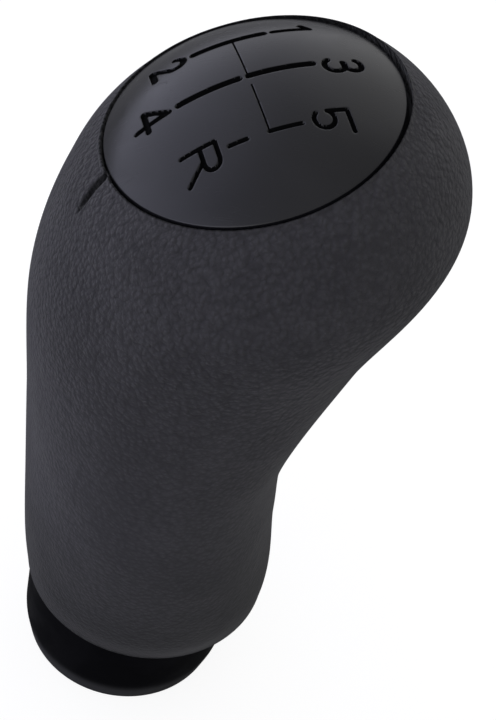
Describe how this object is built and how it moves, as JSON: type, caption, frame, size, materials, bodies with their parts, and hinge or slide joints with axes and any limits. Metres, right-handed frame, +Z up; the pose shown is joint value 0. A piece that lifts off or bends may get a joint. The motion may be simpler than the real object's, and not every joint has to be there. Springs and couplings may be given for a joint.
{
  "type": "gear shift knob",
  "caption": "Soft-grip knob for a manual gear lever, with a domed cap engraved with the shift pattern, a threaded lever insert and a gaiter collar at its foot.",
  "frame": {"origin": "centre of the mouth of the lever thread, level with the foot of the collar", "axes": "+Z up along the lever, +X towards the front of the car, +Y to the left of the car"},
  "size_m": [0.0463, 0.046, 0.0978],
  "materials": {
    "grip_skin": "matt, finely grained soft skin",
    "core_plastic": "as moulded",
    "plated_steel": "zinc plated",
    "seat_plastic": "satin",
    "cap_plastic": "satin gloss, engraving dark",
    "collar_plastic": "smooth, half gloss"
  },
  "bodies": {
    "root": {"grip_cover": "grip_skin", "core": "core_plastic", "lever_insert": "plated_steel", "cap_seat": "seat_plastic", "seat_screws": "plated_steel", "pattern_cap": "cap_plastic", "foot_collar": "collar_plastic", "collar_clip": "plated_steel"}
  },
  "joints": []
}
